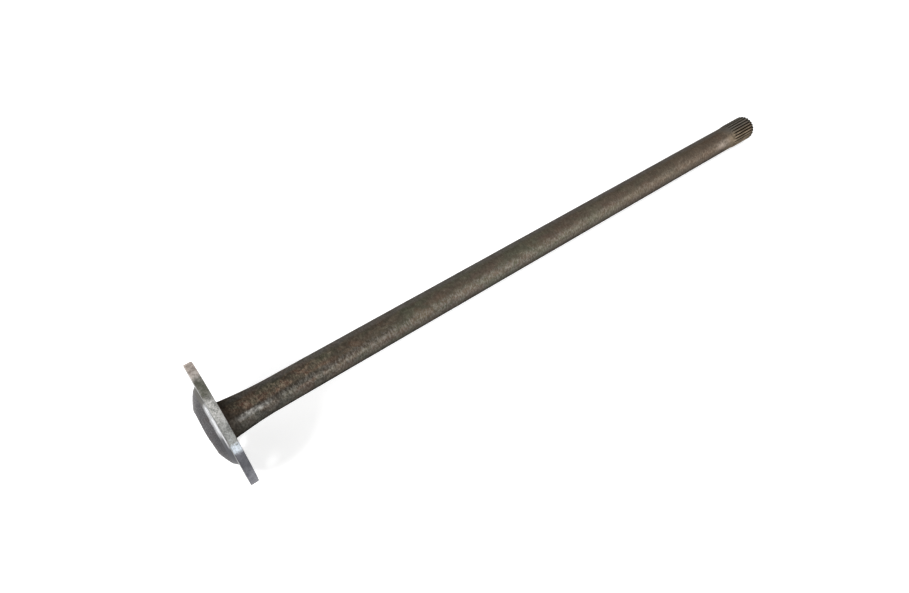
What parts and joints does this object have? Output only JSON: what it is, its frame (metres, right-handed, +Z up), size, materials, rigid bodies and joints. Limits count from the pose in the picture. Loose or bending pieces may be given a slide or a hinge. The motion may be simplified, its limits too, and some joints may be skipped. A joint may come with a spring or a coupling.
{
  "type": "drive shaft",
  "caption": "One-piece full-floating axle drive shaft: a round bolted flange with a domed forged boss, a flared root, a long plain shaft and a splined end.",
  "frame": {"origin": "on the floor, under the centre of the outline of the shaft as it lies at rest", "axes": "+X runs along the shaft, seen from above, from the flange to the splined end; +Z up; the shaft's own axis slopes down 3.2 degrees towards +X, because the flange is larger than the spline"},
  "size_m": [1.1283, 0.17, 0.1701],
  "materials": {
    "forged_steel": "dark oxide on the forged shaft and boss, bare machined flange and spline"
  },
  "bodies": {
    "root": {"drive_shaft": "forged_steel"}
  },
  "joints": []
}
